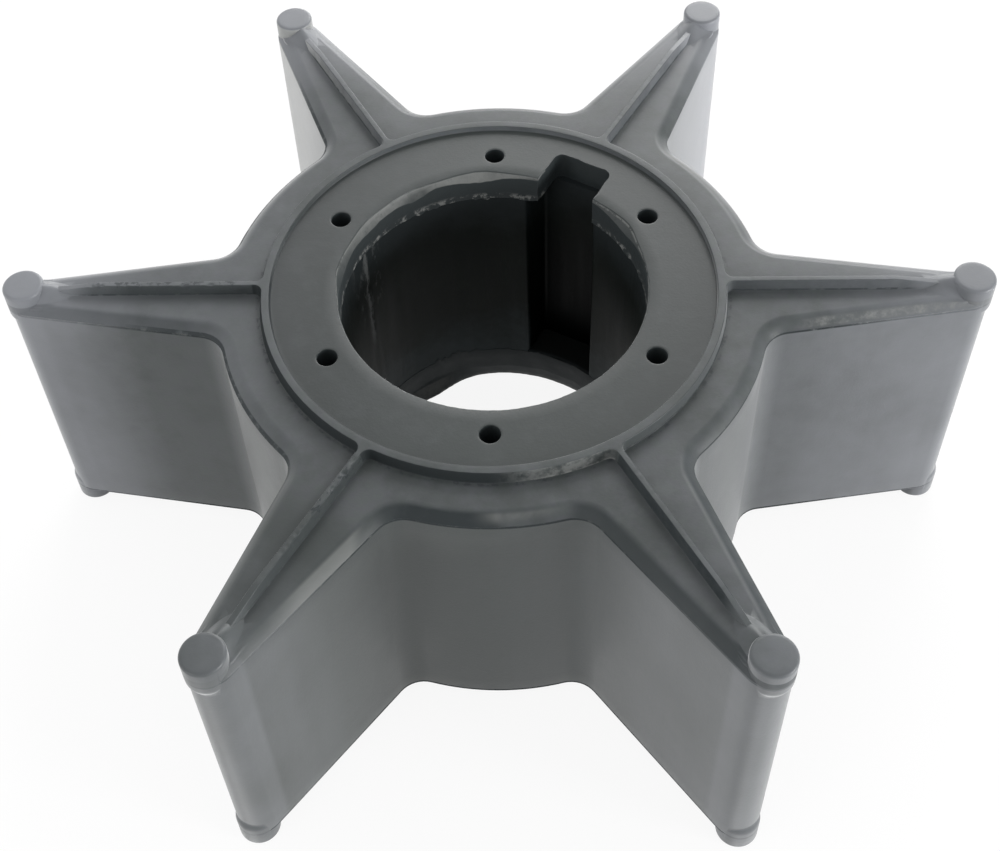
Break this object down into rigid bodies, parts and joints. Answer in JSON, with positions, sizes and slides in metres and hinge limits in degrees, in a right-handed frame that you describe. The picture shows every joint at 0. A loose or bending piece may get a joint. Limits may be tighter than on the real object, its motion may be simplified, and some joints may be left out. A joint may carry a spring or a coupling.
{
  "type": "pump impeller",
  "caption": "Flexible-vane rubber pump impeller: tapered radial vanes with end buttons and raised ribs around a hub moulded over a bored, keyed insert.",
  "frame": {"origin": "on the bore's axis, in the plane of the lower end's rib tops", "axes": "+Z along the bore, out of the end where the keyway is open; +X along one vane"},
  "size_m": [0.076, 0.0662, 0.0274],
  "materials": {
    "rubber_body": "dark grey moulded rubber, satin, with a slightly rough skin",
    "hub_insert": "black moulded plastic, smooth"
  },
  "bodies": {
    "root": {"rubber_body": "rubber_body", "hub_insert": "hub_insert"}
  },
  "joints": []
}
